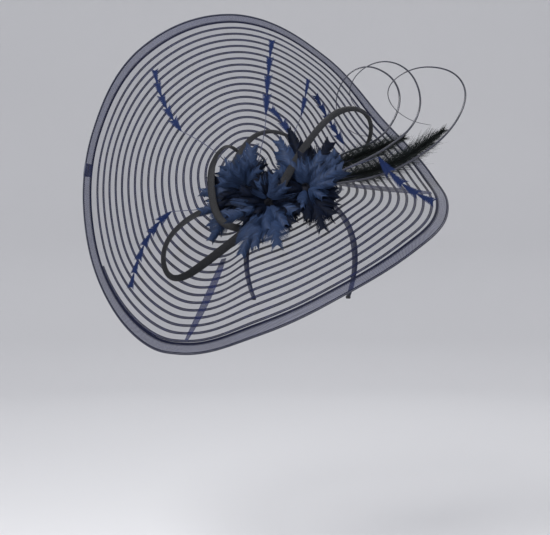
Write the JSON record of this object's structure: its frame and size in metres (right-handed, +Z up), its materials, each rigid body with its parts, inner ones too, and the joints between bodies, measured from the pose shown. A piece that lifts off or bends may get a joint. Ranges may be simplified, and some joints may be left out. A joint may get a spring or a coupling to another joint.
{
  "type": "fascinator headpiece",
  "caption": "Large creased crinoline saucer headpiece on a satin headband, trimmed with feather flowers, woven loops, arrow-cut feathers, plumes and curled quills.",
  "frame": {"origin": "midway between the headband's two tips, on the line that joins them, where it sits on the wearer's head", "axes": "+Z up towards the wearer's crown, -Y the way the wearer faces, -X the wearer's right"},
  "size_m": [0.3759, 0.403, 0.4257],
  "materials": {
    "crinoline": "translucent woven mesh braid, satin",
    "edge_braid": "translucent woven mesh braid, satin",
    "covered_wire": "thread-covered wire, matt",
    "crimped_metal": "dark crimped tube",
    "spring_steel": "bare sprung strip",
    "satin_ribbon": "satin ribbon wrap",
    "tip_plastic": "soft matt",
    "felt": "felt",
    "sinamay_cover": "stiffened open straw weave over buckram",
    "thread": "wound thread, waxed",
    "flower_heart": "bound quill butts, matt",
    "petal_feather": "goose feather, soft sheen",
    "sinamay_loop": "ribbed open straw weave, matt",
    "arrow_vane": "trimmed feather vane, satin",
    "feather_quill": "stripped quill, semi gloss",
    "plume_barbs": "fluffy feather barbs",
    "curled_quill": "stripped and curled quill, semi gloss"
  },
  "bodies": {
    "headpiece": {"band_join_tab": "edge_braid", "base_disc": "sinamay_cover", "base_lining": "felt", "braid_start_knot": "thread", "brim_braid": "crinoline", "brim_stand": "sinamay_cover", "edge_band": "edge_braid", "edge_wire": "covered_wire", "flower_centre_back_petals": "petal_feather", "flower_centre_front_petals": "petal_feather", "flower_centre_heart": "flower_heart", "flower_left_back_petals": "petal_feather", "flower_left_front_petals": "petal_feather", "flower_left_heart": "flower_heart", "flower_right_back_petals": "petal_feather", "flower_right_front_petals": "petal_feather", "flower_right_heart": "flower_heart", "headband_crown_core": "spring_steel", "headband_crown_satin": "satin_ribbon", "loop_left": "sinamay_loop", "loop_lower_left": "sinamay_loop", "loop_top": "sinamay_loop", "loop_upper_right": "sinamay_loop", "stem_collar_left": "thread", "stem_collar_right": "thread", "wire_ferrule": "crimped_metal"},
    "arm_right": {"headband_arm_core_right": "spring_steel", "headband_arm_satin_right": "satin_ribbon", "headband_tip_right": "tip_plastic"},
    "arm_left": {"headband_arm_core_left": "spring_steel", "headband_arm_satin_left": "satin_ribbon", "headband_tip_left": "tip_plastic"},
    "feather_1": {"arrow_feather_1_stem": "feather_quill", "arrow_feather_1_vane": "arrow_vane"},
    "feather_2": {"arrow_feather_2_stem": "feather_quill", "arrow_feather_2_vane": "arrow_vane"},
    "feather_3": {"arrow_feather_3_stem": "feather_quill", "arrow_feather_3_vane": "arrow_vane"},
    "feather_4": {"arrow_feather_4_stem": "feather_quill", "arrow_feather_4_vane": "arrow_vane"},
    "feather_5": {"arrow_feather_5_stem": "feather_quill", "arrow_feather_5_vane": "arrow_vane"},
    "feather_6": {"arrow_feather_6_stem": "feather_quill", "arrow_feather_6_vane": "arrow_vane"},
    "feather_7": {"arrow_feather_7_stem": "feather_quill", "arrow_feather_7_vane": "arrow_vane"},
    "curled_quill_1": {"curled_quill_1": "curled_quill"},
    "curled_quill_2": {"curled_quill_2": "curled_quill"},
    "curled_quill_3": {"curled_quill_3": "curled_quill"},
    "plume_lower": {"plume_lower_barbs": "plume_barbs", "plume_lower_stem": "feather_quill"},
    "plume_upper": {"plume_upper_barbs": "plume_barbs", "plume_upper_stem": "feather_quill"}
  },
  "joints": [
    {"name": "arm_right_flex", "type": "hinge", "parent": "headpiece", "child": "arm_right", "pos_m": [-0.07531, 0, 0.07131], "axis": [0, 1, 0], "range_deg": [-4, 12], "stiffness_Nm_per_rad": 0.4},
    {"name": "arm_left_flex", "type": "hinge", "parent": "headpiece", "child": "arm_left", "pos_m": [0.07531, 0, 0.07131], "axis": [0, -1, 0], "range_deg": [-4, 12], "stiffness_Nm_per_rad": 0.4},
    {"name": "feather_1_sway", "type": "hinge", "parent": "headpiece", "child": "feather_1", "pos_m": [-0.09149, -0.01646, 0.138], "axis": [-0.5, -0.866, 0], "range_deg": [-4, 4], "stiffness_Nm_per_rad": 0.08},
    {"name": "feather_2_sway", "type": "hinge", "parent": "headpiece", "child": "feather_2", "pos_m": [-0.08196, -0.02196, 0.138], "axis": [-0.5, -0.866, 0], "range_deg": [-4, 4], "stiffness_Nm_per_rad": 0.08},
    {"name": "feather_3_sway", "type": "hinge", "parent": "headpiece", "child": "feather_3", "pos_m": [-0.09322, -0.01546, 0.125], "axis": [-0.5, -0.866, 0], "range_deg": [-4, 4], "stiffness_Nm_per_rad": 0.08},
    {"name": "feather_4_sway", "type": "hinge", "parent": "headpiece", "child": "feather_4", "pos_m": [-0.07604, -0.05771, 0.121], "axis": [-0.5, -0.866, 0], "range_deg": [-4, 4], "stiffness_Nm_per_rad": 0.08},
    {"name": "feather_5_sway", "type": "hinge", "parent": "headpiece", "child": "feather_5", "pos_m": [-0.02821, -0.06685, 0.14], "axis": [-0.5, -0.866, 0], "range_deg": [-4, 4], "stiffness_Nm_per_rad": 0.08},
    {"name": "feather_6_sway", "type": "hinge", "parent": "headpiece", "child": "feather_6", "pos_m": [-0.03124, -0.08011, 0.136], "axis": [-0.5, -0.866, 0], "range_deg": [-4, 4], "stiffness_Nm_per_rad": 0.08},
    {"name": "feather_7_sway", "type": "hinge", "parent": "headpiece", "child": "feather_7", "pos_m": [-0.0354, -0.06732, 0.141], "axis": [-0.5, -0.866, 0], "range_deg": [-4, 4], "stiffness_Nm_per_rad": 0.08},
    {"name": "plume_lower_sway", "type": "hinge", "parent": "headpiece", "child": "plume_lower", "pos_m": [-0.02574, -0.07059, 0.135], "axis": [-0.5, -0.866, 0], "range_deg": [-3, 3], "stiffness_Nm_per_rad": 0.08},
    {"name": "plume_upper_sway", "type": "hinge", "parent": "headpiece", "child": "plume_upper", "pos_m": [-0.02461, -0.06662, 0.138], "axis": [-0.5, -0.866, 0], "range_deg": [-3, 3], "stiffness_Nm_per_rad": 0.08},
    {"name": "curled_quill_1_sway", "type": "hinge", "parent": "headpiece", "child": "curled_quill_1", "pos_m": [-0.02897, -0.07218, 0.139], "axis": [-0.5, -0.866, 0], "range_deg": [-3, 3], "stiffness_Nm_per_rad": 0.08},
    {"name": "curled_quill_2_sway", "type": "hinge", "parent": "headpiece", "child": "curled_quill_2", "pos_m": [-0.02874, -0.07578, 0.137], "axis": [-0.5, -0.866, 0], "range_deg": [-3, 3], "stiffness_Nm_per_rad": 0.08},
    {"name": "curled_quill_3_sway", "type": "hinge", "parent": "headpiece", "child": "curled_quill_3", "pos_m": [-0.02838, -0.07715, 0.134], "axis": [-0.5, -0.866, 0], "range_deg": [-3, 3], "stiffness_Nm_per_rad": 0.08}
  ]
}
